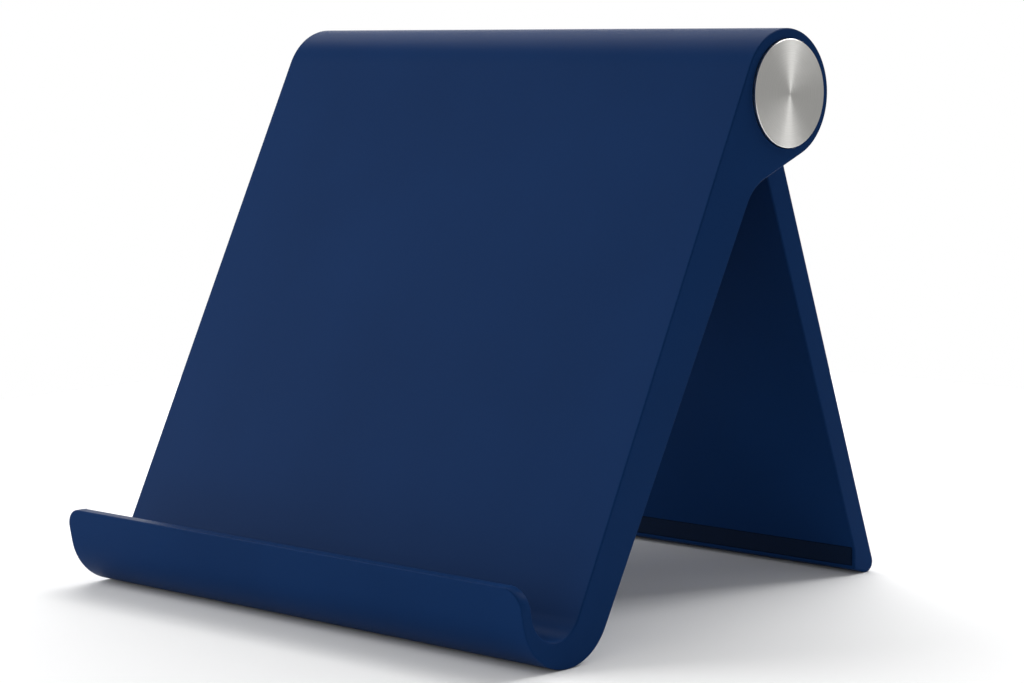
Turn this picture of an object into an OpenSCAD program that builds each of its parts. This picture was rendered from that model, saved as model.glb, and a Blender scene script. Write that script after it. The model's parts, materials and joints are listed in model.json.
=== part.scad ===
// Folding tablet stand: a leaning front panel with a J-shaped hook along its lower edge, and a rear
// leg that swings on a friction hinge inside the panel's top barrel.
// X runs across the stand, -Y is the side that the tablet rests on, and Z is up from the table.

/* [Front panel] */
// Width across the panel's two moulded end faces
panel_w = 104.5; // [96:0.5:120]
// Lean of the panel back from upright, in degrees
panel_lean = 26.8; // [22:0.1:32]
// Outer radius of the barrel along the top edge
barrel_r = 10; // [9.6:0.1:10.5]
// Distance down the panel's back, from the hinge axis to where the hook begins
panel_len = 87.4; // [80:0.2:96]
// How far the back face passes in front of the hinge axis
back_inset = 0.5; // [0.2:0.1:1]
// Taper of the back face, which thins the panel towards the hook, in degrees
back_taper = 2.1; // [1:0.1:3]
// Thickness of the front skin over the hollow back
skin_t = 2.4; // [1.8:0.1:2.8]

/* [Hook] */
// Radius of the hook's rounded underside
hook_r = 9.3; // [8.8:0.1:9.8]
// Radius of the trough that holds the tablet's lower edge
trough_r = 5.1; // [4.8:0.1:5.3]
// How much lower the trough's centre sits than the hook's, along the panel
trough_drop = 0.85; // [0.4:0.05:1.2]
// Angle between the lip and the panel, in degrees
lip_splay = 36.8; // [32:0.1:42]
// Straight height of the lip above the hook's centre
lip_rise = 5.6; // [4:0.1:6.4]
// Slope of the lip's flat top, in degrees from square to the lip (at -10 it would be level)
lip_top_slope = -9; // [-9:1:8]
// Corner radius at the lip's two ends
lip_corner_r = 3.2; // [2.5:0.1:4]

/* [Ears] */
// Thickness of each ear, the solid end of the barrel
ear_t = 9.65; // [9.2:0.05:11]
// Angle below level at which the ear's gusset leaves the barrel, in degrees
gusset_deg = 42; // [36:1:48]
// Fillet radius between the gusset and the panel's back
gusset_fillet_r = 8; // [4:0.5:10]

/* [Rear leg] */
// Tilt of the leg from upright as the stand is drawn, in degrees
leg_tilt = 19.1; // [14:0.1:24]
// Radius of the knuckle, which the leg's outer face runs off as a tangent
knuckle_r = 7.15; // [6.9:0.05:7.2]
// Thickness of the leg at the hinge
leg_t_top = 4.7; // [4:0.1:5]
// Thickness of the leg at its foot
leg_t_foot = 4.0; // [3.6:0.1:4.6]
// Gap between the leg and each ear
leg_side_gap = 0.4; // [0.3:0.05:0.8]
// Rounding of the foot's outer corner
foot_r = 1.7; // [1.2:0.1:1.8]
// Height above the table where the foot's upright bevel begins
bevel_top = 4.3; // [3.5:0.1:5]
// Height above the table where the foot's upright bevel ends
bevel_bottom = 0.95; // [0.6:0.05:1.2]

/* [Travel] */
// Swing of the leg from its drawn place to fully open, in degrees
open_deg = 51; // [40:1:55]

/* [End caps] */
// Radius of the aluminium disc
cap_r = 8.36; // [8:0.02:8.4]
// Thickness of the aluminium disc
cap_t = 1.2; // [0.8:0.1:1.4]
// How far the disc stands out of the ear
cap_proud = 0.53; // [0.2:0.01:0.6]

/* [Hinge hardware] */
// Radius of the steel axle
axle_r = 2.5; // [2.3:0.1:2.6]
// Thickness across the flats at the axle's ends
axle_flats = 4.1; // [3.8:0.1:4.3]

/* [Rubber strips] */
// Height of the strip let into the leg's foot
leg_strip_h = 3.05; // [2.5:0.05:3.2]
// Thickness of both strips
strip_t = 1.2; // [0.8:0.1:1.4]
// How far the leg's strip stands out of the bevel
strip_proud = 0.15; // [0.05:0.05:0.3]

/* [Hidden] */

$fn = 96;
eps = 0.01;
fit_gap = 0.05;     // between pieces that are pushed or glued into each other
run_gap = 0.05;     // radial gap of the bushes on the axle
swing_gap = 0.45;   // between the knuckle and the barrel around it

// ---- Outline of the panel, in the panel's own plane: x to the rear, y up the panel, hinge at 0,0
function on_panel(p) = [
    p.x * cos(panel_lean) + p.y * sin(panel_lean),
    p.y * cos(panel_lean) - p.x * sin(panel_lean),
];
back_down = [-sin(back_taper), -cos(back_taper)];
back_out = [cos(back_taper), -sin(back_taper)];
function back_at(len) = [-back_inset, 0] + len * back_down;
hook_c = back_at(panel_len) - hook_r * back_out;
trough_c = [-barrel_r - trough_r, hook_c.y - trough_drop];
lip_up = [-sin(lip_splay), cos(lip_splay)];
lip_out = [-cos(lip_splay), -sin(lip_splay)];
lip_t = hook_r - trough_r - (trough_c - hook_c) * lip_out;
lip_top_out = hook_c + hook_r * lip_out + lip_rise * lip_up;
lip_top_in = lip_top_out - lip_t * lip_out + lip_t * tan(lip_top_slope) * lip_up;
lip_root = trough_c + trough_r * lip_out;

// ---- Outline of the leg, in the leg's own plane: x out of its rear face, y up the leg
function on_leg(p) = [
    p.x * cos(leg_tilt) - p.y * sin(leg_tilt),
    p.x * sin(leg_tilt) + p.y * cos(leg_tilt),
];
axis_z = hook_r - on_panel(hook_c).y;
function leg_y_at(x, height) = (height - axis_z - x * sin(leg_tilt)) / cos(leg_tilt);
foot_c = [knuckle_r - foot_r, leg_y_at(knuckle_r - foot_r, foot_r)];
bevel_hi = [knuckle_r - leg_t_foot, leg_y_at(knuckle_r - leg_t_foot, bevel_top)];
bevel_lo = bevel_hi - (bevel_top - bevel_bottom) * [sin(leg_tilt), cos(leg_tilt)];

// The origin is under the middle of the whole stand, on the table
front_reach = on_panel(lip_top_out).x;
rear_reach = on_leg(foot_c).x + foot_r;
axis_y = -(front_reach + rear_reach) / 2;

// ---- Stations along the hinge axis, from the middle of the stand outwards
half_w = panel_w / 2;
ear_in = half_w - ear_t;
leg_half_w = ear_in - leg_side_gap;
friction_washer_t = 1.2;
friction_washer_out = ear_in - 0.1;
bush_flange_t = 1;
bush_flange_out = friction_washer_out - friction_washer_t;
bush_len = 8;
web_t = 2;
key_plate_t = 1;
spring_t = 1.2;
thrust_washer_t = 0.6;
nut_t = 2.4;
key_in = ear_in + web_t;
spring_in = key_in + key_plate_t;
thrust_in = spring_in + spring_t;
nut_in = thrust_in + thrust_washer_t;
axle_half = nut_in + nut_t + 0.2;
cap_in = half_w + cap_proud - cap_t;
tape_t = 0.15;
seat_face_t = 1.05;
seat_out = cap_in - tape_t - 0.04;
seat_in = ear_in + 6;

// ---- Radii of the hinge hardware
barrel_bore_r = knuckle_r + swing_gap;
web_hole_r = axle_r + 0.1;
nut_well_r = 7;
cap_well_r = cap_r + 0.08;
key_plate_w = 9.6;
washer_r = 5;
knuckle_bore_r = 4;
bush_flange_r = 5.6;
knuckle_fillet_r = 2;
slot_edge_deg = 42;     // where the barrel's wall ends above the leg, up from level

// ---- Hollow back of the panel
cover_t = 1.6;
cover_w = panel_w - 12;
cover_top = 22;         // down the back face from the hinge axis
cover_end = 83;
cover_corner_r = 3;
cover_rim = 2;          // ledge that the cover is glued to
slot_count = 9;
rib_t = 1.6;
slot_pitch = (cover_w - 2 * cover_rim + rib_t) / slot_count;
slot_w = slot_pitch - rib_t;
lug_h = 1.8;
lug_len = 9;

// ---- Rubber strip under the hook, as an arc around the hook's centre from straight down
hook_strip_front_deg = 8;
hook_strip_rear_deg = 24;
hook_strip_w = panel_w - 10;
leg_strip_w = 2 * leg_half_w - 1.2;
leg_strip_z = 1.6;

navy = [0.09, 0.17, 0.34];
rubber_black = [0.06, 0.07, 0.08];
bare_aluminium = [0.78, 0.77, 0.75];
bright_steel = [0.62, 0.63, 0.65];
dark_steel = [0.38, 0.38, 0.4];
natural_nylon = [0.86, 0.84, 0.78];
tape_white = [0.93, 0.93, 0.9];

// ======== Placing helpers ========

// Puts a hinge-centred shape at the hinge axis
module at_hinge() { translate([0, axis_y, axis_z]) children(); }

// Extrudes a side view, drawn as [y, z] about the hinge axis, from station x0 to x1
module across(x0, x1) {
    at_hinge() rotate([90, 0, 90]) translate([0, 0, x0]) linear_extrude(x1 - x0) children();
}

// Turns a side view from the panel's or the leg's own plane to the stand's
module panel_plane() { rotate(-panel_lean) children(); }
module leg_plane(swing = 0) { rotate(leg_tilt + swing) children(); }

// A solid drawn on the panel's back face: x across, y out of the face, z up it
module on_back_face() {
    at_hinge() rotate([-panel_lean, 0, 0]) translate([0, -back_inset, 0])
        rotate([-back_taper, 0, 0]) children();
}

// A round piece on the hinge axis from station x0 to x1
module rod(x0, x1, r) { at_hinge() translate([x0, 0, 0]) rotate([0, 90, 0]) cylinder(h = x1 - x0, r = r); }

// Repeats a right-hand shape on the left
module both_sides() { for (side = [0, 1]) mirror([side, 0, 0]) children(); }

module ring(r_out, r_in) { difference() { circle(r_out); circle(r_in); } }

module rounded_plate(w, h, r) {
    square([w - 2 * r, h], center = true);
    square([w, h - 2 * r], center = true);
    for (x = [-1, 1], y = [-1, 1]) translate([x * (w / 2 - r), y * (h / 2 - r)]) circle(r);
}

// ======== Panel body ========

// The hook's round, cut off below the lip's top
module hook_round() {
    difference() {
        translate(hook_c) circle(hook_r);
        translate(hook_c) rotate(lip_splay) translate([-2 * hook_r, lip_rise / 2])
            square([4 * hook_r, 2 * hook_r]);
    }
}

// Side view of the barrel, plate, hook and lip as one solid outline
module panel_outline() {
    circle(barrel_r);
    polygon([
        [-barrel_r, 0], [-barrel_r, trough_c.y], hook_c,
        hook_c + hook_r * back_out, [-back_inset, 0],
    ]);
    hook_round();
    polygon([hook_c, trough_c, lip_root, lip_top_in, lip_top_out, hook_c + hook_r * lip_out]);
}

// Room for the tablet's edge between the panel and the lip
module trough_outline() {
    translate(trough_c) circle(trough_r);
    polygon([
        trough_c, [-barrel_r, trough_c.y], [-barrel_r, trough_c.y + 3 * hook_r],
        lip_root + 3 * hook_r * lip_up, lip_root,
    ]);
}

// Gusset under the barrel, blended into the back face
module gusset_outline() {
    start = barrel_r * [cos(gusset_deg), -sin(gusset_deg)];
    down = [-sin(gusset_deg), -cos(gusset_deg)];
    // Where the gusset's straight edge would meet the back face
    run = (start.x + back_inset - start.y * tan(back_taper)) / (-down.x + down.y * tan(back_taper));
    corner = start + run * down;
    blend = gusset_fillet_r * tan((gusset_deg - back_taper) / 2);
    fillet_c = corner - blend * down + gusset_fillet_r * [-down.y, down.x];
    difference() {
        polygon([
            [-barrel_r / 2, 0], start, corner - blend * down, corner + blend * back_down,
            corner + blend * back_down - [barrel_r / 2, 0],
        ]);
        translate(fillet_c) circle(gusset_fillet_r);
    }
}

// Room for the knuckle and for the leg's swing, between the ears
module knuckle_room() {
    reach = 3 * barrel_r;
    edge_deg = slot_edge_deg + panel_lean;
    panel_plane() {
        circle(barrel_bore_r);
        polygon([
            [0, 0], [-back_inset, 0], back_at(reach), [reach, -reach],
            [reach, 0], reach * [cos(edge_deg), sin(edge_deg)],
        ]);
    }
    // Flat seat that the leg comes up to when it is fully open
    leg_plane(open_deg) translate([0, -reach]) square([knuckle_r + swing_gap, reach]);
}

module lip_end_cuts() {
    top = max(on_panel(lip_top_in).y, on_panel(lip_top_out).y);
    both_sides() at_hinge() translate([half_w - lip_corner_r, on_panel(trough_c).x, top - lip_corner_r])
        rotate([90, 0, 0]) linear_extrude(3 * lip_corner_r) difference() {
            square(2 * lip_corner_r);
            circle(lip_corner_r);
        }
}

// Holes in one ear, from the knuckle side out to the cap
module ear_holes() {
    rod(ear_in - eps, key_in + eps, web_hole_r);
    at_hinge() translate([key_in, -key_plate_w / 2 - fit_gap, -key_plate_w / 2 - fit_gap])
        cube([key_plate_t + eps, key_plate_w + 2 * fit_gap, key_plate_w + 2 * fit_gap]);
    rod(spring_in, seat_in + eps, nut_well_r);
    rod(seat_in, half_w + eps, cap_well_r);
}

module back_hollow() {
    cover_len = cover_end - cover_top;
    on_back_face() translate([0, eps, -(cover_top + cover_end) / 2]) rotate([90, 0, 0])
        linear_extrude(cover_t + eps) rounded_plate(cover_w, cover_len, cover_corner_r);
    at_hinge() rotate([-panel_lean, 0, 0])
        for (i = [0 : slot_count - 1]) translate([slot_x(i) - slot_w / 2, skin_t - barrel_r, -cover_end + cover_rim])
            cube([slot_w, barrel_r - skin_t - 3 * back_inset, cover_len - 2 * cover_rim]);
}
function slot_x(i) = (i - (slot_count - 1) / 2) * slot_pitch;

// Side view of the strip under the hook, and of its groove when grow is above zero
module hook_strip_outline(grow = 0) {
    far = 2 * hook_r;
    front = hook_strip_front_deg + grow;
    rear = hook_strip_rear_deg + grow;
    translate(on_panel(hook_c)) intersection() {
        ring(hook_r + (grow > 0 ? eps : 0), hook_r - strip_t);
        polygon([[0, 0], far * [-sin(front), -cos(front)], far * [0, -1.2], far * [sin(rear), -cos(rear)]]);
    }
}

module front_panel() {
    color(navy) difference() {
        union() {
            across(-half_w, half_w) panel_plane() difference() {
                panel_outline();
                trough_outline();
            }
            both_sides() across(ear_in, half_w) panel_plane() gusset_outline();
        }
        across(-ear_in, ear_in) knuckle_room();
        both_sides() ear_holes();
        lip_end_cuts();
        back_hollow();
        across(-hook_strip_w / 2 - fit_gap, hook_strip_w / 2 + fit_gap) hook_strip_outline(0.3);
    }
}

// Flat cover glued over the ribs, with lugs that drop between them
module panel_back_cover() {
    cover_len = cover_end - cover_top;
    middle = (cover_top + cover_end) / 2;
    color(navy) on_back_face() {
        translate([0, 0, -middle]) rotate([90, 0, 0]) linear_extrude(cover_t - fit_gap)
            rounded_plate(cover_w - 2 * fit_gap, cover_len - 2 * fit_gap, cover_corner_r);
        for (i = [1, slot_count - 2], z = [-1, 1])
            translate([slot_x(i) - slot_w / 2 + 0.1, -cover_t - lug_h, -middle + z * (cover_len / 2 - 12) - lug_len / 2])
                cube([slot_w - 0.2, lug_h + 2 * fit_gap, lug_len]);
    }
}

module hook_foot_strip() {
    color(rubber_black) across(-hook_strip_w / 2, hook_strip_w / 2) hook_strip_outline();
}

// ======== Hinge hardware, drawn on the right ========

module end_cap() {
    chamfer = 0.25;
    color(bare_aluminium) at_hinge() translate([cap_in, 0, 0]) rotate([0, 90, 0]) {
        cylinder(h = cap_t - chamfer, r = cap_r);
        translate([0, 0, cap_t - chamfer]) cylinder(h = chamfer, r1 = cap_r, r2 = cap_r - chamfer);
    }
}

// Thin double-sided tape that holds the disc on its seat
module cap_tape() { color(tape_white) rod(cap_in - tape_t - 0.02, cap_in - 0.02, cap_r - 0.8); }

// Plastic cup that closes the hinge's well and carries the disc
module cap_seat() {
    wall = 1.3;
    color(navy) difference() {
        rod(seat_in + fit_gap, seat_out, cap_well_r - fit_gap);
        rod(seat_in, seat_out - seat_face_t, cap_well_r - fit_gap - wall);
    }
}

module lock_nut() {
    across_flats = 8;
    color(bright_steel) difference() {
        at_hinge() translate([nut_in, 0, 0]) rotate([0, 90, 0])
            cylinder(h = nut_t, r = across_flats / 2 / cos(30), $fn = 6);
        rod(nut_in - eps, nut_in + nut_t + eps, axle_r + 0.02);
    }
}

module thrust_washer() {
    color(bright_steel) difference() {
        rod(thrust_in + 0.02, thrust_in + thrust_washer_t - 0.02, washer_r);
        rod(thrust_in, nut_in, axle_r + 0.1);
    }
}

// One coned spring washer, with its rim at x = 0 and its bore raised
module coned_washer(dish, t) {
    inner = axle_r + 0.15;
    rotate([0, 90, 0]) rotate_extrude()
        polygon([[inner, dish], [washer_r, 0], [washer_r, t], [inner, dish + t]]);
}

// Two coned washers rim to rim, which keep the hinge tight
module spring_washers() {
    t = 0.35;
    dish = spring_t / 2 - t - 0.02;
    color(dark_steel) at_hinge() {
        translate([spring_in + spring_t / 2 + 0.01, 0, 0]) coned_washer(dish, t);
        translate([spring_in + spring_t / 2 - 0.01, 0, 0]) mirror([1, 0, 0]) coned_washer(dish, t);
    }
}

// Steel plate with a flatted hole, which stops the axle turning in the ear
module key_plate() {
    color(dark_steel) at_hinge() translate([key_in + 0.02, 0, 0]) difference() {
        translate([0, -key_plate_w / 2, -key_plate_w / 2]) cube([key_plate_t - 0.04, key_plate_w, key_plate_w]);
        translate([-eps, 0, 0]) rotate([90, 0, 90]) linear_extrude(key_plate_t) flatted_round(fit_gap);
    }
}

module flatted_round(grow = 0) {
    intersection() {
        circle(axle_r + grow);
        square([4 * axle_r, axle_flats + 2 * grow], center = true);
    }
}

// Through axle, round in the bushes and flatted where it meets the key plates
module hinge_axle() {
    color(bright_steel) {
        rod(-key_in + 0.3, key_in - 0.3, axle_r);
        both_sides() across(key_in - 0.3 - eps, axle_half) flatted_round();
    }
}

// ======== Leg body ========

// Lower tangent point on the foot's rounding, for a line from bevel_lo
function foot_tangent() =
    let (v = bevel_lo - foot_c, turn = atan2(v.y, v.x) + acos(foot_r / norm(v)))
    foot_c + foot_r * [cos(turn), sin(turn)];

module leg_outline() {
    inner_top = knuckle_r - leg_t_top;
    slope = (bevel_hi.x - inner_top) / -bevel_hi.y;
    fillet_x = inner_top + slope * knuckle_r - knuckle_fillet_r;
    fillet_y = -sqrt(pow(knuckle_r + knuckle_fillet_r, 2) - pow(fillet_x, 2));
    circle(knuckle_r);
    polygon([[knuckle_r, 0], [inner_top, 0], bevel_hi, bevel_lo, foot_tangent(), foot_c, [knuckle_r, foot_c.y]]);
    translate(foot_c) circle(foot_r);
    difference() {
        polygon([
            [knuckle_r / 2, 0], [fillet_x, 0],
            [fillet_x, fillet_y] * knuckle_r / (knuckle_r + knuckle_fillet_r),
            [inner_top + slope * -fillet_y + eps, fillet_y],
        ]);
        translate([fillet_x, fillet_y]) circle(knuckle_fillet_r);
    }
}

// Side view of the foot's rubber strip, standing upright behind the bevel
module leg_strip_outline(grow = 0) {
    y = on_leg(bevel_hi).x - strip_proud;
    translate([y - (grow > 0 ? 1 : 0), leg_strip_z - axis_z - grow])
        square([strip_t + (grow > 0 ? 1 + grow : 0), leg_strip_h + 2 * grow]);
}

module rear_leg() {
    groove_half = leg_strip_w / 2 + fit_gap;
    color(navy) difference() {
        across(-leg_half_w, leg_half_w) leg_plane() leg_outline();
        rod(-half_w, half_w, knuckle_bore_r);
        both_sides() rod(bush_flange_out - bush_flange_t - fit_gap, half_w, bush_flange_r + 0.15);
        across(-groove_half, groove_half) leg_strip_outline(fit_gap);
    }
}

module leg_foot_strip() {
    color(rubber_black) across(-leg_strip_w / 2, leg_strip_w / 2) leg_strip_outline();
}

// Flanged nylon bush, pushed into the end of the knuckle
module knuckle_bush() {
    flange_in = bush_flange_out - bush_flange_t;
    color(natural_nylon) difference() {
        union() {
            rod(flange_in, bush_flange_out - 0.02, bush_flange_r);
            rod(flange_in - bush_len, flange_in + eps, knuckle_bore_r - 0.02);
        }
        rod(flange_in - bush_len - eps, half_w, axle_r + run_gap);
    }
}

module friction_washer() {
    color(natural_nylon) difference() {
        rod(bush_flange_out, friction_washer_out, bush_flange_r);
        rod(bush_flange_out - eps, half_w, axle_r + 0.3);
    }
}

module on_left() { mirror([1, 0, 0]) children(); }

front_panel();
panel_back_cover();
hook_foot_strip();
end_cap();  // right_end_cap
on_left() end_cap();  // left_end_cap
cap_tape();  // right_cap_tape
on_left() cap_tape();  // left_cap_tape
cap_seat();  // right_cap_seat
on_left() cap_seat();  // left_cap_seat
hinge_axle();
lock_nut();  // right_lock_nut
on_left() lock_nut();  // left_lock_nut
thrust_washer();  // right_thrust_washer
on_left() thrust_washer();  // left_thrust_washer
spring_washers();  // right_spring_washers
on_left() spring_washers();  // left_spring_washers
key_plate();  // right_key_plate
on_left() key_plate();  // left_key_plate
rear_leg();
leg_foot_strip();
knuckle_bush();  // right_knuckle_bush
on_left() knuckle_bush();  // left_knuckle_bush
friction_washer();  // right_friction_washer
on_left() friction_washer();  // left_friction_washer
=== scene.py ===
"""Folding tablet stand: navy panel and leg, spun aluminium caps and rubber strips, on a pale floor."""

import json
import math

import bmesh
import bpy
from mathutils import Matrix, Vector

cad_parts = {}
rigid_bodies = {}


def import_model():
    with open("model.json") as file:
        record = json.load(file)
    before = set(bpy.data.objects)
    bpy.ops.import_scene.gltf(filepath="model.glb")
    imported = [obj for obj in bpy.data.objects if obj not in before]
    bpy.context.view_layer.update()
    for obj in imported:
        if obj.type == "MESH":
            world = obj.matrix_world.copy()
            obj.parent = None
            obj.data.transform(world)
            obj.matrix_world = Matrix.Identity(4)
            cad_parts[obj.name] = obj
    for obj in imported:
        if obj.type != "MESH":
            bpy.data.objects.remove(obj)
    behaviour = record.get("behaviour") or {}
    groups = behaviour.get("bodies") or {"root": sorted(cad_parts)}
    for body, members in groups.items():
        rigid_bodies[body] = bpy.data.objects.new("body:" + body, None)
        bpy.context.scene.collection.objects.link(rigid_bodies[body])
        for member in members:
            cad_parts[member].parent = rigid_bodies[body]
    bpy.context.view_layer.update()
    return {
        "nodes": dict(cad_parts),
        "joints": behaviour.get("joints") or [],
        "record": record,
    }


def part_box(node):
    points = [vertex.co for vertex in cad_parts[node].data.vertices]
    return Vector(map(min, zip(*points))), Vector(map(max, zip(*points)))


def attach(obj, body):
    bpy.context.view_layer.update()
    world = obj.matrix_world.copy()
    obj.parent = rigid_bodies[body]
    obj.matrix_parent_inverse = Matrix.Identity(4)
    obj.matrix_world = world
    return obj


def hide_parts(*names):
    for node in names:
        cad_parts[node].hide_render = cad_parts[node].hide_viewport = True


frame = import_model()

MM = 0.001
WELD = 0.002 * MM   # points closer than this are welded
TOUCH = 0.01        # faces this close to a place, in millimetres, are on it

# ---- Driving sizes, in millimetres and degrees
PANEL_LEAN = 26.8
BARREL_R = 10.0
PANEL_LEN = 87.4
BACK_INSET = 0.5
BACK_TAPER = 2.1
HOOK_R = 9.3
TROUGH_R = 5.1
TROUGH_DROP = 0.85
LIP_SPLAY = 36.8
LIP_RISE = 5.6
LIP_TOP_SLOPE = -9
LIP_CORNER_R = 3.2
EAR_T = 9.65
GUSSET_DEG = 42
GUSSET_FILLET_R = 8
BORE_R = 7.6
SLOT_EDGE_DEG = 42
OPEN_DEG = 51
LEG_TILT = 19.1
KNUCKLE_R = 7.15
LEG_T_TOP = 4.7
LEG_T_FOOT = 4.0
KNUCKLE_FILLET_R = 2
FOOT_R = 1.7
BEVEL_TOP = 4.3
BEVEL_BOTTOM = 0.95
STRIP_T = 1.2
HOOK_STRIP_FRONT_DEG = 8
HOOK_STRIP_REAR_DEG = 24
WEB_HOLE_R = 2.6
NUT_WELL_R = 7
CAP_WELL_R = 8.44
WEB_T = 2
KEY_PLATE_W = 9.6
KEY_PLATE_T = 1
SEAT_DEPTH = 6
BUSH_FLANGE_T = 1
BUSH_RECESS_R = 5.75
KNUCKLE_BORE_R = 4
FIT_GAP = 0.05
SKIN_T = 2.4
COVER_T = 1.6
COVER_W = 92.5
COVER_TOP = 22
COVER_END = 83
COVER_CORNER_R = 3
COVER_RIM = 2
SLOT_COUNT = 9
RIB_T = 1.6
CAP_CHAMFER = 0.1
CAP_PLAIN_RIM = 0.2
CAP_STEPS = 144
RING_PITCH = 0.36
RING_DEPTH = 0.018
TOOL_MARK = 0.09
RIM_EDGE = 0.05
PANEL_EDGE = 0.3
THIN_GUSSET = 3.2   # edges this near the gusset's thin end stay crisp
GROOVE_GROW_DEG = 0.3
COVER_EDGE = 0.25
HOOK_STRIP_EDGE = 0.15
LEG_STRIP_EDGE = 0.2
LEG_EDGE = 0.35
ARC_STEP_DEG = 3.75
SHARP_DEG = 28

# ---- Navy of the mouldings, as linear colours
NAVY_DEEP = (0.0043, 0.0225, 0.083, 1)
NAVY = (0.0048, 0.0250, 0.092, 1)
NAVY_LIGHT = (0.0065, 0.0320, 0.112, 1)

# ---- Stage, in metres and degrees
FLOOR_SIZE = 0.5
ROOM_LIGHT = 0.4
CAMERA_PLACE = (0.330233, -0.33478, 0.095614)
CAMERA_AZIMUTH = 44.158
CAMERA_ELEVATION = 6.718
CAMERA_ROLL = -0.85
CAMERA_LENS = 101.257

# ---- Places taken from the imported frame, in millimetres
hinge = Vector(frame["joints"][0]["pos_m"]) / MM
half_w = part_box("front_panel")[1].x / MM
ear_in = half_w - EAR_T
leg_half_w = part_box("rear_leg")[1].x / MM
cap_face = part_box("right_end_cap")[1].x / MM
cap_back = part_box("right_end_cap")[0].x / MM
cap_r = (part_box("right_end_cap")[1].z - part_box("right_end_cap")[0].z) / 2 / MM
pocket_in = ear_in + WEB_T
well_in = pocket_in + KEY_PLATE_T
seat_in = ear_in + SEAT_DEPTH
hook_strip_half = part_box("hook_foot_strip")[1].x / MM


def polar(radius, degrees):
    """A side-view point at this radius and angle: 0 degrees is rearward, 90 is up."""
    return Vector((radius * math.cos(math.radians(degrees)), radius * math.sin(math.radians(degrees))))


def turned(point, degrees, centre=(0, 0)):
    """A side-view point turned counter-clockwise about a centre."""
    middle = Vector(centre)
    return middle + Matrix.Rotation(math.radians(degrees), 2) @ (Vector(point) - middle)


def angle_of(point):
    return math.degrees(math.atan2(point[1], point[0]))


# ======== Bench tools: drawing, extruding, cutting and softening ========

def new_piece(name):
    """Opens an empty piece in edit mode."""
    bpy.ops.object.select_all(action="DESELECT")
    bpy.ops.mesh.primitive_plane_add(size=MM)
    piece = bpy.context.object
    piece.name = piece.data.name = name
    bpy.ops.object.mode_set(mode="EDIT")
    bpy.ops.mesh.select_all(action="SELECT")
    bpy.ops.mesh.delete(type="VERT")
    return piece


def side(x):
    """Puts side-view points, [rear, up] from the hinge in millimetres, at station x."""
    return lambda p: Vector((x, hinge.y + p[0], hinge.z + p[1])) * MM


def draw(start, moves, place, seen_from, close=True):
    """Draws a line of points in edit mode, and fills it where it is closed.

    A move is a point to go straight to, or (centre, degrees) to go round.
    """
    bpy.ops.mesh.select_mode(type="VERT")
    bpy.ops.mesh.select_all(action="DESELECT")
    bpy.ops.mesh.primitive_plane_add(size=MM, location=place(start))
    bpy.ops.mesh.merge(type="CENTER")
    here = Vector(start)
    for move in moves:
        if isinstance(move, tuple):
            centre, degrees = move
            steps = max(2, round(abs(degrees) / ARC_STEP_DEG))
            bpy.ops.mesh.spin(
                steps=steps, angle=-math.radians(degrees), center=place(centre), axis=seen_from
            )
            here = turned(here, degrees, centre)
        else:
            step = place(move) - place(here)
            bpy.ops.mesh.extrude_region_move(TRANSFORM_OT_translate={"value": step})
            here = Vector(move)
    bpy.ops.mesh.select_linked()
    bpy.ops.mesh.remove_doubles(threshold=WELD)
    if close:
        bpy.ops.mesh.edge_face_add()


def select(kind, test):
    """Selects the faces or edges of the piece in edit mode that pass a test."""
    bpy.ops.mesh.select_mode(type=kind)
    bpy.ops.mesh.select_all(action="DESELECT")
    mesh = bmesh.from_edit_mesh(bpy.context.object.data)
    mesh.normal_update()
    for part in mesh.faces if kind == "FACE" else mesh.edges:
        if test(part):
            part.select_set(True)
    bmesh.update_edit_mesh(bpy.context.object.data)


def edge_middle(edge):
    return (edge.verts[0].co + edge.verts[1].co) / 2 / MM


def push_out(distance, direction=(1, 0, 0)):
    """Extrudes what is selected by a distance in millimetres."""
    step = Vector(direction) * distance * MM
    bpy.ops.mesh.extrude_region_move(TRANSFORM_OT_translate={"value": step})


def close_piece():
    """Welds the doubles, turns the faces outwards and leaves edit mode."""
    bpy.ops.mesh.select_all(action="SELECT")
    bpy.ops.mesh.remove_doubles(threshold=WELD)
    bpy.ops.mesh.normals_make_consistent(inside=False)
    bpy.ops.object.mode_set(mode="OBJECT")


def extruded(name, start, moves, x0, x1):
    """A piece with this side view, from station x0 to x1."""
    piece = new_piece(name)
    draw(start, moves, side(x0), (1, 0, 0))
    push_out(x1 - x0)
    close_piece()
    return piece


def lathed(name, points, steps=96):
    """A round piece on the hinge axis, from [station, radius] points that start and end on the axis."""
    piece = new_piece(name)
    place = lambda p: Vector((p[0], hinge.y, hinge.z + p[1])) * MM
    draw(points[0], [Vector(p) for p in points[1:]], place, (0, -1, 0), close=False)
    middle = Vector((0, hinge.y, hinge.z)) * MM
    bpy.ops.mesh.spin(steps=steps, angle=2 * math.pi, center=middle, axis=(1, 0, 0))
    close_piece()
    return piece


def block(name, low, high):
    """A box between two corners in millimetres, from the floor's middle."""
    low, high = Vector(low), Vector(high)
    bpy.ops.object.select_all(action="DESELECT")
    bpy.ops.mesh.primitive_cube_add(size=1)
    piece = bpy.context.object
    piece.name = piece.data.name = name
    piece.scale = (high - low) * MM
    piece.location = (low + high) / 2 * MM
    bpy.ops.object.transform_apply(location=True, rotation=True, scale=True)
    return piece


def only(piece):
    bpy.ops.object.select_all(action="DESELECT")
    piece.select_set(True)
    bpy.context.view_layer.objects.active = piece


def use(piece, kind, **settings):
    """Adds a modifier to a piece and applies it."""
    only(piece)
    modifier = piece.modifiers.new(kind.title(), kind)
    for name, value in settings.items():
        setattr(modifier, name, value)
    bpy.ops.object.modifier_apply(modifier=modifier.name)


def cut(piece, *tools):
    for tool in tools:
        use(piece, "BOOLEAN", operation="DIFFERENCE", solver="EXACT", object=tool)
        bpy.data.objects.remove(tool)


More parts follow.
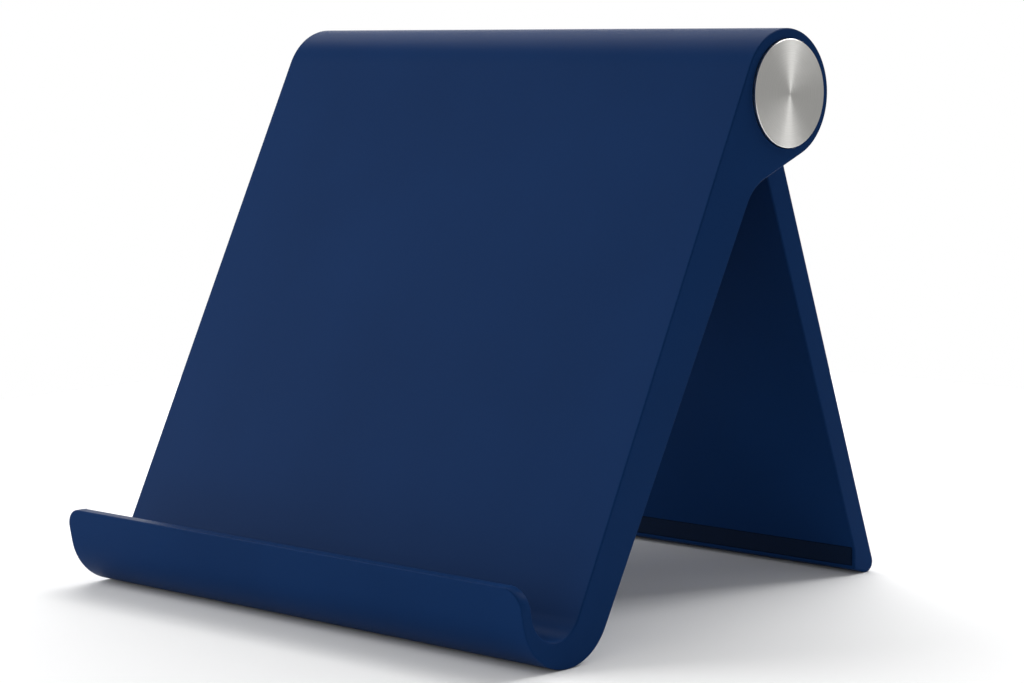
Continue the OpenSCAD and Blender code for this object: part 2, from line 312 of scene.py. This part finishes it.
def mirrored(piece):
    """Completes a piece about the stand's middle plane."""
    use(piece, "MIRROR", merge_threshold=WELD)
    only(piece)
    bpy.ops.object.mode_set(mode="EDIT")
    close_piece()


def soften(piece, width, segments=3, where=lambda edge: True, convex_only=True):
    """Rounds the sharp edges of a piece."""
    only(piece)
    bpy.ops.object.mode_set(mode="EDIT")
    sharp = math.radians(SHARP_DEG)

    def wanted(edge):
        if len(edge.link_faces) != 2 or edge.calc_face_angle(0) < sharp:
            return False
        return (edge.is_convex or not convex_only) and where(edge)

    select("EDGE", wanted)
    bpy.ops.mesh.bevel(offset=width * MM, segments=segments, affect="EDGES", clamp_overlap=False)
    bpy.ops.mesh.select_all(action="SELECT")
    bpy.ops.mesh.remove_doubles(threshold=WELD)
    bpy.ops.object.mode_set(mode="OBJECT")


def finish_shading(piece):
    only(piece)
    bpy.ops.object.shade_smooth_by_angle(angle=math.radians(SHARP_DEG))
    use(piece, "WEIGHTED_NORMAL", keep_sharp=True, weight=100)


def copied_to_left(piece, name):
    """A mirrored copy with a mesh of its own."""
    only(piece)
    bpy.ops.object.duplicate()
    copy = bpy.context.object
    copy.name = copy.data.name = name
    copy.scale.x = -1
    bpy.ops.object.transform_apply(location=True, rotation=True, scale=True)
    bpy.ops.object.mode_set(mode="EDIT")
    bpy.ops.mesh.select_all(action="SELECT")
    bpy.ops.mesh.normals_make_consistent(inside=False)
    bpy.ops.object.mode_set(mode="OBJECT")
    return copy


# ======== Outline of the panel, in its own plane and then in the stand's ========

back_down = polar(1, -90 - BACK_TAPER)
back_out = polar(1, -BACK_TAPER)
lip_up = polar(1, 90 + LIP_SPLAY)
lip_out = polar(1, 180 + LIP_SPLAY)


def back_at(length):
    return Vector((-BACK_INSET, 0)) + length * back_down


hook_c = back_at(PANEL_LEN) - HOOK_R * back_out
trough_c = Vector((-BARREL_R - TROUGH_R, hook_c.y - TROUGH_DROP))
lip_t = HOOK_R - TROUGH_R - (trough_c - hook_c).dot(lip_out)
lip_top_out = hook_c + HOOK_R * lip_out + LIP_RISE * lip_up
lip_top_in = lip_top_out - lip_t * lip_out + lip_t * math.tan(math.radians(LIP_TOP_SLOPE)) * lip_up


def leaned(point):
    return turned(point, -PANEL_LEAN)


def gusset_points():
    """Top of the gusset, its fillet's two ends and the fillet's centre, in the panel's plane."""
    start = polar(BARREL_R, -GUSSET_DEG)
    down = polar(1, -90 - GUSSET_DEG)
    # Distance from the start to where the straight edge would meet the back face
    run = (BACK_INSET + start.dot(back_out / back_out.x)) / -down.dot(back_out / back_out.x)
    corner = start + run * down
    blend = GUSSET_FILLET_R * math.tan(math.radians((GUSSET_DEG - BACK_TAPER) / 2))
    fillet_c = corner - blend * down + GUSSET_FILLET_R * Vector((-down.y, down.x))
    return start, corner - blend * down, corner + blend * back_down, fillet_c


def make_front_panel():
    """Half of the panel from the right ear inwards, mirrored, then softened and cut."""
    gusset_top, fillet_top, fillet_end, fillet_c = [leaned(p) for p in gusset_points()]
    seat_deg = LEG_TILT + OPEN_DEG
    slot_r = BORE_R / math.cos(math.radians(seat_deg - SLOT_EDGE_DEG))
    # Where the bore around the knuckle meets the back face
    inset = BACK_INSET * Vector((math.cos(math.radians(BACK_TAPER)), math.sin(math.radians(BACK_TAPER))))
    bore_end = leaned(back_at(math.sqrt(BORE_R**2 - inset.x**2) - inset.y))
    slot_edge = polar(BARREL_R, SLOT_EDGE_DEG)
    front_top = leaned((-BARREL_R, 0))
    axis = Vector((0, 0))

    bore_wall = [
        polar(slot_r, SLOT_EDGE_DEG), polar(BORE_R, seat_deg),
        (axis, angle_of(bore_end) % 360 - seat_deg), fillet_end,
    ]
    middle_view = bore_wall + [
        leaned(hook_c + HOOK_R * back_out), (leaned(hook_c), LIP_SPLAY + BACK_TAPER - 180),
        leaned(lip_top_out), leaned(lip_top_in), leaned(trough_c + TROUGH_R * lip_out),
        (leaned(trough_c), 180 - LIP_SPLAY), front_top,
        (axis, SLOT_EDGE_DEG - angle_of(front_top)),
    ]
    ear_view = bore_wall + [
        (fillet_c, BACK_TAPER - GUSSET_DEG), gusset_top,
        (axis, SLOT_EDGE_DEG - angle_of(gusset_top)),
    ]
    piece = new_piece("panel_shell")
    draw(slot_edge, middle_view, side(half_w), (1, 0, 0))
    draw(slot_edge, ear_view, side(half_w), (1, 0, 0))
    bpy.ops.mesh.select_all(action="SELECT")
    bpy.ops.mesh.remove_doubles(threshold=WELD)
    push_out(-EAR_T)
    select("FACE", lambda f: abs(f.normal.x) > 0.9 and at_station(f, ear_in) and reaches_hook(f))
    push_out(-ear_in)
    bpy.ops.mesh.delete(type="FACE")
    close_piece()
    mirrored(piece)
    only(piece)
    bpy.ops.object.mode_set(mode="EDIT")
    select("FACE", lambda f: abs(f.normal.x) > 0.9 and at_station(f, half_w))
    bpy.ops.mesh.dissolve_faces()
    bpy.ops.object.mode_set(mode="OBJECT")
    cut(piece, *lip_corner_tools())
    thin_end = Vector((ear_in, hinge.y + fillet_end.x, hinge.z + fillet_end.y))

    def not_thin(edge):
        middle = edge_middle(edge)
        return (Vector((abs(middle.x), middle.y, middle.z)) - thin_end).length > THIN_GUSSET

    soften(piece, PANEL_EDGE, where=not_thin)
    return piece


def at_station(face, x):
    return abs(abs(face.calc_center_median().x / MM) - x) < TOUCH


def reaches_hook(face):
    return min(v.co.z for v in face.verts) / MM < hinge.z / 2


def lip_corner_tools():
    """Cutters that round the lip's two ends, seen from the front."""
    top = hinge.z + max(leaned(lip_top_in).y, leaned(lip_top_out).y)
    middle = Vector((half_w - LIP_CORNER_R, top - LIP_CORNER_R))
    spare = 2
    start = Vector((half_w, middle.y))
    moves = [
        (middle, 90), Vector((middle.x, top + spare)), Vector((half_w + spare, top + spare)),
        Vector((half_w + spare, middle.y)), start,
    ]
    back = hinge.y + leaned(trough_c).x
    tool = new_piece("lip_corner_tool")
    draw(start, moves, lambda p: Vector((p[0], back, p[1])) * MM, (0, -1, 0))
    push_out(3 * LIP_CORNER_R, (0, -1, 0))
    close_piece()
    return tool, copied_to_left(tool, "left_lip_corner_tool")


def well_tool():
    """Cutter for the stepped hole through one ear: web, nut well and cap well."""
    spare = 1
    points = [
        (ear_in - spare, 0), (ear_in - spare, WEB_HOLE_R), (well_in, WEB_HOLE_R),
        (well_in, NUT_WELL_R), (seat_in, NUT_WELL_R), (seat_in, CAP_WELL_R),
        (half_w + spare, CAP_WELL_R), (half_w + spare, 0),
    ]
    return lathed("well_tool", points)


def key_pocket_tool():
    reach = KEY_PLATE_W / 2 + FIT_GAP
    middle = Vector((0, hinge.y, hinge.z))
    low, high = Vector((pocket_in, -reach, -reach)), Vector((well_in + KEY_PLATE_T / 2, reach, reach))
    return block("key_pocket_tool", middle + low, middle + high)


def back_face(depth):
    """Puts [across, up the panel] points on the panel's back face, this deep in it, in millimetres."""
    def place(p):
        view = leaned(back_at(-p[1]) - depth * back_out)
        return Vector((p[0], hinge.y + view.x, hinge.z + view.y)) * MM
    return place


def rounded_plate(width, low, high, corner_r):
    """Start and moves of a rounded plate's outline."""
    half = width / 2
    start = Vector((half - corner_r, low))
    moves = [
        (Vector((half - corner_r, low + corner_r)), 90), Vector((half, high - corner_r)),
        (Vector((half - corner_r, high - corner_r)), 90), Vector((corner_r - half, high)),
        (Vector((corner_r - half, high - corner_r)), 90), Vector((-half, low + corner_r)),
        (Vector((corner_r - half, low + corner_r)), 90), start,
    ]
    return start, moves


def plate_in_back(name, width, low, high, deep, shallow):
    """A rounded plate let into the panel's back face, between two depths."""
    outward = leaned(back_out)
    outward = Vector((0, outward.x, outward.y))
    start, moves = rounded_plate(width, low, high, COVER_CORNER_R)
    piece = new_piece(name)
    draw(start, moves, back_face(deep), -outward)
    push_out(deep - shallow, outward)
    close_piece()
    return piece


def slots_tool():
    """Cutter for the row of pockets between the panel's ribs."""
    pitch = (COVER_W - 2 * COVER_RIM + RIB_T) / SLOT_COUNT
    far = -(SLOT_COUNT - 1) / 2 * pitch
    low, high = -COVER_END + COVER_RIM, -COVER_TOP - COVER_RIM
    front, back = SKIN_T - BARREL_R, -3 * BACK_INSET
    corners = [Vector((front, low)), Vector((back, low)), Vector((back, high)), Vector((front, high))]
    corners = [leaned(c) for c in corners]
    half_slot = (pitch - RIB_T) / 2
    tool = extruded("slots_tool", corners[0], corners[1:] + corners[:1], far - half_slot, far + half_slot)
    use(tool, "ARRAY", count=SLOT_COUNT, use_relative_offset=False, use_constant_offset=True,
        constant_offset_displace=(pitch * MM, 0, 0))
    return tool


def hook_ring(name, grow, outer_r, reach):
    """Part of a ring around the hook's centre, from just ahead of its lowest point to the rear."""
    middle = leaned(hook_c)
    front, rear = -90 - HOOK_STRIP_FRONT_DEG - grow, -90 + HOOK_STRIP_REAR_DEG + grow
    start = middle + polar(HOOK_R - STRIP_T, front)
    moves = [
        (middle, rear - front), middle + polar(outer_r, rear), (middle, front - rear), start,
    ]
    return extruded(name, start, moves, -reach, reach)


def cut_panel(piece):
    """Wells, cover rebate, strip groove and rib pockets, with crisper rims than the outside edges."""
    wells = well_tool()
    pocket = key_pocket_tool()
    spare = 1
    tools = [
        wells, copied_to_left(wells, "left_well_tool"),
        pocket, copied_to_left(pocket, "left_pocket_tool"),
        plate_in_back("rebate_tool", COVER_W, -COVER_END, -COVER_TOP, COVER_T, -spare),
        hook_ring("groove_tool", GROOVE_GROW_DEG, HOOK_R + spare, hook_strip_half + FIT_GAP),
    ]
    before = sharp_places(piece)
    cut(piece, *tools)
    soften(piece, RIM_EDGE, 2, where=lambda e: is_rim(e) and place_key(edge_middle(e)) not in before)
    cut(piece, slots_tool())


def place_key(point):
    return tuple(round(c, 1) for c in point)


def sharp_places(piece):
    """Middles of the edges that a piece already has."""
    places = [v.co for v in piece.data.vertices]
    ends = [edge.vertices for edge in piece.data.edges]
    return {place_key((places[a] + places[b]) / 2 / MM) for a, b in ends}


def is_rim(edge):
    """True on the edges that a cutter leaves on the panel's outside faces."""
    middle = edge_middle(edge)
    from_axis = math.hypot(middle.y - hinge.y, middle.z - hinge.z)
    cap_rim = abs(abs(middle.x) - half_w) < TOUCH and from_axis < CAP_WELL_R + RIM_EDGE
    view = turned((middle.y - hinge.y, middle.z - hinge.z), PANEL_LEAN)
    out = (view - Vector((-BACK_INSET, 0))).dot(back_out)
    cover_rim = abs(out) < 2 * TOUCH and COVER_TOP - 1 < -view.y < COVER_END + 1
    return cap_rim or cover_rim


def make_back_cover():
    """Flat cover plate with a softened edge, which sits flush in the panel's back."""
    gap = FIT_GAP
    low, high = gap - COVER_END, -gap - COVER_TOP
    piece = plate_in_back("back_cover", COVER_W - 2 * gap, low, high, COVER_T - gap, 0)
    soften(piece, COVER_EDGE)
    return piece


def make_hook_strip():
    piece = hook_ring("hook_strip", 0, HOOK_R, hook_strip_half)
    soften(piece, HOOK_STRIP_EDGE, 2)
    return piece


def make_end_cap():
    """Spun disc: a flat back, a fine chamfer and a face turned with rings."""
    face_r = cap_r - CAP_CHAMFER
    points = [(cap_back, 0), (cap_back, cap_r), (cap_face - CAP_CHAMFER, cap_r), (cap_face, face_r)]
    outer = face_r - CAP_PLAIN_RIM
    for i in range(int(outer / RING_PITCH)):
        crest = outer - i * RING_PITCH
        points += [(cap_face, crest), (cap_face - RING_DEPTH, crest - RING_PITCH / 2)]
    points.append((cap_face - RING_DEPTH / 2, 0))
    return lathed("spun_cap_right", points, CAP_STEPS)


# ======== Rear leg ========

def swung(point):
    return turned(point, LEG_TILT)


def leg_at(x, height):
    """Point in the leg's plane at this distance behind its axis and this height over the table."""
    tilt = math.radians(LEG_TILT)
    return Vector((x, (height - hinge.z - x * math.sin(tilt)) / math.cos(tilt)))


foot_c = leg_at(KNUCKLE_R - FOOT_R, FOOT_R)
bevel_hi = leg_at(KNUCKLE_R - LEG_T_FOOT, BEVEL_TOP)
bevel_lo = bevel_hi - (BEVEL_TOP - BEVEL_BOTTOM) * polar(1, 90 - LEG_TILT)


def make_leg():
    """Knuckle, flat leg and bevelled foot in one outline, bored and grooved."""
    inner_top = KNUCKLE_R - LEG_T_TOP
    slope = (bevel_hi.x - inner_top) / -bevel_hi.y
    fillet_x = inner_top + slope * KNUCKLE_R - KNUCKLE_FILLET_R
    fillet_c = Vector((fillet_x, -math.sqrt((KNUCKLE_R + KNUCKLE_FILLET_R) ** 2 - fillet_x**2)))
    to_low = bevel_lo - foot_c
    foot_deg = angle_of(to_low) % 360 + math.degrees(math.acos(FOOT_R / to_low.length))
    axis = Vector((0, 0))
    start = swung((KNUCKLE_R, 0))
    moves = [
        (axis, angle_of(fillet_c) % 360), (swung(fillet_c), -angle_of(-fillet_c)),
        swung(bevel_hi), swung(bevel_lo), swung(foot_c + polar(FOOT_R, foot_deg)),
        (swung(foot_c), 360 - foot_deg), start,
    ]
    piece = extruded("leg_shell", start, moves, -leg_half_w, leg_half_w)
    soften(piece, LEG_EDGE)
    flange_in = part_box("right_knuckle_bush")[1].x / MM - BUSH_FLANGE_T
    bore = lathed("bore_tool", [
        (-leg_half_w - 1, 0), (-leg_half_w - 1, BUSH_RECESS_R), (-flange_in, BUSH_RECESS_R),
        (-flange_in, KNUCKLE_BORE_R), (flange_in, KNUCKLE_BORE_R), (flange_in, BUSH_RECESS_R),
        (leg_half_w + 1, BUSH_RECESS_R), (leg_half_w + 1, 0),
    ])
    low, high = [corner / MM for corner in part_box("leg_foot_strip")]
    gap = Vector((FIT_GAP,) * 3)
    groove = block("groove_tool", low - gap - Vector((0, 1, 0)), high + gap)
    cut(piece, bore, groove)
    return piece


def make_leg_strip():
    low, high = [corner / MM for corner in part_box("leg_foot_strip")]
    piece = block("foot_strip", low, high)
    soften(piece, LEG_STRIP_EDGE)
    return piece


# ======== Finishes ========

def colour(red, green, blue):
    """Linear colour from a display colour of 0 to 255."""
    def linear(v):
        v /= 255
        return v / 12.92 if v <= 0.04045 else ((v + 0.055) / 1.055) ** 2.4
    return (linear(red), linear(green), linear(blue), 1)


class Finish:
    """A node material under construction, on Object coordinates."""

    def __init__(self, name, **settings):
        self.material = bpy.data.materials.new(name)
        self.material.use_nodes = True
        self.tree = self.material.node_tree
        self.shader = self.tree.nodes["Principled BSDF"]
        for socket, value in settings.items():
            self.shader.inputs[socket.replace("_", " ")].default_value = value
        self.place = self.add("ShaderNodeTexCoord").outputs["Object"]

    def add(self, kind, inputs=None, **settings):
        node = self.tree.nodes.new(kind)
        for name, value in settings.items():
            setattr(node, name, value)
        for name, value in (inputs or {}).items():
            self.set(node.inputs[name], value)
        return node

    def set(self, socket, value):
        if isinstance(value, bpy.types.NodeSocket):
            self.tree.links.new(value, socket)
        else:
            socket.default_value = value

    def times(self, value, factor):
        return self.add("ShaderNodeMath", {0: value, 1: factor}, operation="MULTIPLY").outputs[0]

    def noise(self, size, detail=3, stretch=None):
        """Noise whose grain is about this many millimetres across."""
        place = self.place
        if stretch:
            place = self.add("ShaderNodeMapping", {"Vector": self.place, "Scale": stretch}).outputs["Vector"]
        node = self.add("ShaderNodeTexNoise", {"Vector": place, "Scale": 1 / (size * MM), "Detail": detail})
        return node.outputs["Fac"]

    def spread(self, value, low, high, centre=0.5, reach=0.2):
        """Maps a noise around its centre to the range from low to high."""
        inputs = {
            "Value": value, "From Min": centre - reach, "From Max": centre + reach,
            "To Min": low, "To Max": high,
        }
        return self.add("ShaderNodeMapRange", inputs).outputs["Result"]

    def mixed(self, share, first, second):
        node = self.add("ShaderNodeMix", data_type="RGBA")
        for socket, value in zip((node.inputs[0], node.inputs[6], node.inputs[7]), (share, first, second)):
            self.set(socket, value)
        return node.outputs[2]

    def bumped(self, height, distance, strength=1.0):
        """Bump of this depth in millimetres, on top of any bump already made."""
        inputs = {"Height": height, "Distance": distance * MM, "Strength": strength}
        last = self.shader.inputs["Normal"]
        if last.is_linked:
            inputs["Normal"] = last.links[0].from_socket
        self.set(last, self.add("ShaderNodeBump", inputs).outputs["Normal"])


def navy_plastic():
    """Satin moulded ABS: a fine even grain, and a faint drift in tone from the moulding."""
    finish = Finish("navy_plastic", Specular_IOR_Level=0.014)
    drift = finish.spread(finish.noise(28, 2), 0, 1)
    grain = finish.noise(0.35, 2)
    tone = finish.mixed(drift, NAVY_DEEP, NAVY)
    tone = finish.mixed(finish.spread(grain, 0, 0.16), tone, NAVY_LIGHT)
    finish.set(finish.shader.inputs["Base Color"], tone)
    finish.set(finish.shader.inputs["Roughness"], finish.spread(grain, 0.36, 0.44))
    finish.bumped(grain, 0.004)
    return finish.material


def black_rubber():
    """Matte rubber with a sanded skin."""
    finish = Finish("black_rubber", Specular_IOR_Level=0.03)
    grain = finish.noise(0.25, 4)
    tone = finish.mixed(finish.spread(grain, 0, 1), colour(6, 22, 44), colour(10, 27, 52))
    finish.set(finish.shader.inputs["Base Color"], tone)
    finish.set(finish.shader.inputs["Roughness"], finish.spread(grain, 0.68, 0.85))
    finish.bumped(grain, 0.02)
    return finish.material


def spun_aluminium():
    """Lathe-turned aluminium: rings about the hinge axis, with the sheen drawn out from the middle."""
    finish = Finish("spun_aluminium", Metallic=1.0, Anisotropic=0.85)
    centred = finish.add(
        "ShaderNodeVectorMath", {0: finish.place, 1: (0, hinge.y * MM, hinge.z * MM)}, operation="SUBTRACT"
    ).outputs[0]
    flat = finish.add("ShaderNodeVectorMath", {0: centred, 1: (0, 1, 1)}, operation="MULTIPLY").outputs[0]
    radius = finish.add("ShaderNodeVectorMath", {0: flat}, operation="LENGTH").outputs["Value"]
    along = finish.times(radius, 1 / (TOOL_MARK * MM))
    marks = {"W": along, "Detail": 2.0, "Scale": 1.0}
    rings = finish.add("ShaderNodeTexNoise", marks, noise_dimensions="1D").outputs["Fac"]
    tone = finish.mixed(finish.spread(rings, 0, 1), colour(214, 213, 209), colour(232, 231, 228))
    finish.set(finish.shader.inputs["Base Color"], tone)
    finish.set(finish.shader.inputs["Roughness"], finish.spread(rings, 0.3, 0.4))
    finish.bumped(rings, 0.002)
    outwards = finish.add("ShaderNodeVectorMath", {0: flat}, operation="NORMALIZE").outputs[0]
    finish.set(finish.shader.inputs["Tangent"], outwards)
    return finish.material


def steel(name, light, dark, roughness):
    """Plated or blued steel with fine turning marks across the axis."""
    finish = Finish(name, Metallic=1.0)
    marks = finish.noise(0.4, 3, stretch=(6, 1, 1))
    finish.set(finish.shader.inputs["Base Color"], finish.mixed(finish.spread(marks, 0, 1), dark, light))
    finish.set(finish.shader.inputs["Roughness"], finish.spread(marks, roughness - 0.06, roughness + 0.06))
    finish.bumped(marks, 0.003)
    return finish.material


def soft_white(name, light, dark, grain_size, roughness):
    """Waxy nylon or woven tape, with a mottled skin."""
    finish = Finish(name)
    grain = finish.noise(grain_size, 4)
    finish.set(finish.shader.inputs["Base Color"], finish.mixed(finish.spread(grain, 0, 1), dark, light))
    finish.set(finish.shader.inputs["Roughness"], finish.spread(grain, roughness - 0.08, roughness + 0.08))
    finish.bumped(grain, 0.01)
    return finish.material


def coat(piece, material):
    piece.data.materials.clear()
    piece.data.materials.append(material)


# ======== The stand ========

def build_stand():
    finishes = {
        "navy_abs": navy_plastic(),
        "black_rubber": black_rubber(),
        "spun_aluminium": spun_aluminium(),
        "plated_steel": steel("plated_steel", colour(205, 206, 208), colour(178, 180, 184), 0.3),
        "spring_steel": steel("spring_steel", colour(128, 129, 134), colour(96, 98, 106), 0.36),
        "natural_nylon": soft_white("natural_nylon", colour(238, 234, 224), colour(226, 221, 208), 0.5, 0.5),
        "white_tape": soft_white("white_tape", colour(240, 240, 236), colour(224, 224, 220), 0.3, 0.7),
    }
    panel = make_front_panel()
    cut_panel(panel)
    cap = make_end_cap()
    made = [
        (panel, "front_panel", "panel", "navy_abs"),
        (make_back_cover(), "panel_back_cover", "panel", "navy_abs"),
        (make_hook_strip(), "hook_foot_strip", "panel", "black_rubber"),
        (cap, "right_end_cap", "panel", "spun_aluminium"),
        (copied_to_left(cap, "spun_cap_left"), "left_end_cap", "panel", "spun_aluminium"),
        (make_leg(), "rear_leg", "leg", "navy_abs"),
        (make_leg_strip(), "leg_foot_strip", "leg", "black_rubber"),
    ]
    for piece, node, body, slot in made:
        finish_shading(piece)
        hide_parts(node)
        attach(piece, body)
        coat(piece, finishes[slot])
    replaced = {node for _, node, _, _ in made}
    for row in frame["record"]["subparts"]:
        if row["node"] not in replaced:
            coat(frame["nodes"][row["node"]], finishes[row["material_slot"]])


# ======== Floor, light and camera ========

def make_floor():
    bpy.ops.object.select_all(action="DESELECT")
    bpy.ops.mesh.primitive_plane_add(size=FLOOR_SIZE)
    floor = bpy.context.object
    floor.name = "floor"
    paint = bpy.data.materials.new("pale_floor")
    paint.use_nodes = True
    shader = paint.node_tree.nodes["Principled BSDF"]
    shader.inputs["Base Color"].default_value = (0.86, 0.86, 0.86, 1)
    shader.inputs["Roughness"].default_value = 0.9
    shader.inputs["Specular IOR Level"].default_value = 0.1
    floor.data.materials.append(paint)


def soft_light(name, place, wide, tall, power):
    """Oblong area light that faces the middle of the stand."""
    data = bpy.data.lights.new(name, "AREA")
    data.shape = "RECTANGLE"
    data.size, data.size_y = wide, tall
    data.energy = power
    light = bpy.data.objects.new(name, data)
    bpy.context.scene.collection.objects.link(light)
    light.location = place
    light.rotation_euler = (Vector((0, 0, 0.05)) - Vector(place)).to_track_quat("-Z", "Y").to_euler()
    return light


def make_lights():
    soft_light("overhead_softbox", (-0.2, 0.4, 0.65), 1.2, 0.6, 7)
    soft_light("left_softbox", (-0.38, -0.3, 0.36), 0.3, 0.3, 1.1)
    soft_light("low_left_softbox", (-0.9, -0.3, 0.12), 0.4, 0.2, 5)
    soft_light("rear_softbox", (-0.7, 0.72, 0.2), 0.6, 0.4, 2)
    soft_light("front_softbox", (-0.2, -0.9, 0.3), 0.6, 0.4, 0.6)
    soft_light("cap_softbox", (0.25, 0.62, 0.45), 0.25, 0.25, 1.8)
    world = bpy.data.worlds.new("studio")
    bpy.context.scene.world = world
    world.use_nodes = True
    nodes, links = world.node_tree.nodes, world.node_tree.links
    room = nodes["Background"]
    room.inputs["Color"].default_value = (1, 1, 1, 1)
    room.inputs["Strength"].default_value = ROOM_LIGHT
    backdrop = nodes.new("ShaderNodeBackground")
    backdrop.inputs["Color"].default_value = (1, 1, 1, 1)
    mix = nodes.new("ShaderNodeMixShader")
    links.new(nodes.new("ShaderNodeLightPath").outputs["Is Camera Ray"], mix.inputs["Fac"])
    links.new(room.outputs[0], mix.inputs[1])
    links.new(backdrop.outputs[0], mix.inputs[2])
    links.new(mix.outputs[0], nodes["World Output"].inputs["Surface"])


def make_camera():
    azimuth, elevation, roll = [math.radians(a) for a in (CAMERA_AZIMUTH, CAMERA_ELEVATION, CAMERA_ROLL)]
    data = bpy.data.cameras.new("camera")
    data.sensor_width = 36
    data.lens = CAMERA_LENS
    data.clip_start, data.clip_end = 0.01, 20
    camera = bpy.data.objects.new("camera", data)
    bpy.context.scene.collection.objects.link(camera)
    level_forward = Vector((-math.sin(azimuth), math.cos(azimuth), 0))
    forward = level_forward * math.cos(elevation) - Vector((0, 0, math.sin(elevation)))
    level = Vector((math.cos(azimuth), math.sin(azimuth), 0))
    upright = level.cross(forward)
    across = level * math.cos(roll) + upright * math.sin(roll)
    up = -level * math.sin(roll) + upright * math.cos(roll)
    turn = Matrix((across, up, -forward)).transposed()
    camera.matrix_world = Matrix.Translation(CAMERA_PLACE) @ turn.to_4x4()
    bpy.context.scene.camera = camera


build_stand()
make_floor()
make_lights()
make_camera()
bpy.context.scene.view_settings.view_transform = "Standard"
